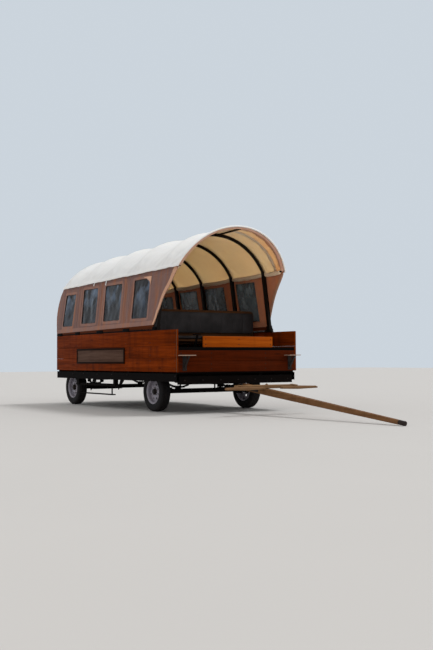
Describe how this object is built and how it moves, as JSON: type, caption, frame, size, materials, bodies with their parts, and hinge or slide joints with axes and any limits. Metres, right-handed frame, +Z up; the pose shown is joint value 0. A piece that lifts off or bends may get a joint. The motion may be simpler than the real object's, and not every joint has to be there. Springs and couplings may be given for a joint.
{
  "type": "covered passenger wagon",
  "caption": "Four-wheeled horse-drawn wagon with wooden box, hooped canvas canopy with clear windows, benches, steered front axle and draw pole.",
  "frame": {"origin": "on the ground under the middle of the overall box, pole included", "axes": "+X forward along the pole, +Y to the wagon's left, +Z up"},
  "size_m": [8.053, 2.236, 2.8248],
  "materials": {
    "box_wood": "satin",
    "deck_wood": "matte",
    "frame_black": "satin",
    "rail_dark": "satin",
    "hoop_brown": "satin",
    "canvas_white": "matte",
    "canvas_tan": "matte",
    "clear_vinyl": "gloss",
    "cushion_dark": "satin",
    "sign_panel": "satin",
    "step_steel": "satin",
    "tyre_rubber": "matte",
    "wheel_paint": "satin",
    "hub_black": "satin",
    "pole_wood": "satin",
    "iron": "satin"
  },
  "bodies": {
    "wagon": {"side_walls": "box_wood", "cap_strips": "box_wood", "front_wall": "box_wood", "rear_wall": "box_wood", "floor_deck": "deck_wood", "bench_frames": "deck_wood", "driver_seat": "deck_wood", "main_rails": "frame_black", "side_rails": "frame_black", "cross_members": "frame_black", "side_steps": "frame_black", "rear_steps": "frame_black", "springs": "frame_black", "front_axle": "frame_black", "rear_axle": "frame_black", "brake_lever": "frame_black", "top_rails": "rail_dark", "front_rail": "rail_dark", "gate_hinges": "rail_dark", "hoop_legs": "hoop_brown", "hoop_arch_1": "hoop_brown", "hoop_arch_2": "hoop_brown", "hoop_arch_3": "hoop_brown", "hoop_arch_4": "hoop_brown", "hoop_arch_5": "hoop_brown", "front_bow": "hoop_brown", "canopy_top": "canvas_white", "side_curtains": "canvas_tan", "rear_curtain": "canvas_tan", "window_panes": "clear_vinyl", "bench_cushions": "cushion_dark", "driver_cushions": "cushion_dark", "sign_boards": "sign_panel", "front_steps": "step_steel"},
    "knuckle_right": {"knuckle_right": "frame_black"},
    "knuckle_left": {"knuckle_left": "frame_black"},
    "tie_rod_right": {"tie_rod_right": "frame_black"},
    "tie_rod_left": {"tie_rod_left": "frame_black"},
    "draw_yoke": {"steer_yoke": "frame_black"},
    "draw_pole": {"pole": "pole_wood", "pole_irons": "iron"},
    "evener": {"evener": "pole_wood"},
    "singletree_right": {"singletree_right": "pole_wood"},
    "singletree_left": {"singletree_left": "pole_wood"},
    "gate": {"rear_gate": "box_wood"},
    "wheel_front_right": {"tyre_front_right": "tyre_rubber", "wheel_front_right": "wheel_paint", "hub_front_right": "hub_black"},
    "wheel_front_left": {"tyre_front_left": "tyre_rubber", "wheel_front_left": "wheel_paint", "hub_front_left": "hub_black"},
    "wheel_rear_right": {"tyre_rear_right": "tyre_rubber", "wheel_rear_right": "wheel_paint", "hub_rear_right": "hub_black"},
    "wheel_rear_left": {"tyre_rear_left": "tyre_rubber", "wheel_rear_left": "wheel_paint", "hub_rear_left": "hub_black"}
  },
  "joints": [
    {"name": "draw_swing", "type": "hinge", "parent": "wagon", "child": "draw_yoke", "pos_m": [0.03347, 0, 0.363], "axis": [0, 0, 1], "range_deg": [-22, 22]},
    {"name": "steer_right", "type": "hinge", "parent": "wagon", "child": "knuckle_right", "pos_m": [-0.46653, -0.7, 0.311], "axis": [0, 0, 1], "range_deg": [-22, 22]},
    {"name": "steer_left", "type": "hinge", "parent": "wagon", "child": "knuckle_left", "pos_m": [-0.46653, 0.7, 0.311], "axis": [0, 0, 1], "range_deg": [-22, 22]},
    {"name": "tie_right", "type": "hinge", "parent": "draw_yoke", "child": "tie_rod_right", "pos_m": [0.21347, 0, 0.363], "axis": [0, 0, 1], "range_deg": [-22, 22]},
    {"name": "tie_left", "type": "hinge", "parent": "draw_yoke", "child": "tie_rod_left", "pos_m": [0.21347, 0, 0.363], "axis": [0, 0, 1], "range_deg": [-22, 22]},
    {"name": "pole_lift", "type": "hinge", "parent": "draw_yoke", "child": "draw_pole", "pos_m": [0.64347, 0, 0.4], "axis": [0, -1, 0], "range_deg": [0, 22]},
    {"name": "evener_swing", "type": "hinge", "parent": "draw_pole", "child": "evener", "pos_m": [1.24796, 0, 0.40823], "axis": [0.1089, 0, 0.9941], "range_deg": [-8, 8]},
    {"name": "singletree_swing_right", "type": "hinge", "parent": "evener", "child": "singletree_right", "pos_m": [1.32749, -0.48, 0.39952], "axis": [0.1089, 0, 0.9941], "range_deg": [-12, 12]},
    {"name": "singletree_swing_left", "type": "hinge", "parent": "evener", "child": "singletree_left", "pos_m": [1.32749, 0.48, 0.39952], "axis": [0.1089, 0, 0.9941], "range_deg": [-12, 12]},
    {"name": "gate_swing", "type": "hinge", "parent": "wagon", "child": "gate", "pos_m": [-3.78653, 0.35, 0.94], "axis": [0, 0, -1], "range_deg": [0, 110]},
    {"name": "spin_front_right", "type": "hinge", "parent": "knuckle_right", "child": "wheel_front_right", "pos_m": [-0.46653, -0.857, 0.311], "axis": [0, 1, 0], "continuous": true},
    {"name": "spin_front_left", "type": "hinge", "parent": "knuckle_left", "child": "wheel_front_left", "pos_m": [-0.46653, 0.857, 0.311], "axis": [0, 1, 0], "continuous": true},
    {"name": "spin_rear_right", "type": "hinge", "parent": "wagon", "child": "wheel_rear_right", "pos_m": [-3.44653, -0.857, 0.311], "axis": [0, 1, 0], "continuous": true},
    {"name": "spin_rear_left", "type": "hinge", "parent": "wagon", "child": "wheel_rear_left", "pos_m": [-3.44653, 0.857, 0.311], "axis": [0, 1, 0], "continuous": true}
  ],
  "couplings": [
    {"joint": "steer_right", "follows": "draw_swing", "ratio": 1},
    {"joint": "steer_left", "follows": "draw_swing", "ratio": 1},
    {"joint": "tie_right", "follows": "draw_swing", "ratio": -1},
    {"joint": "tie_left", "follows": "draw_swing", "ratio": -1}
  ]
}
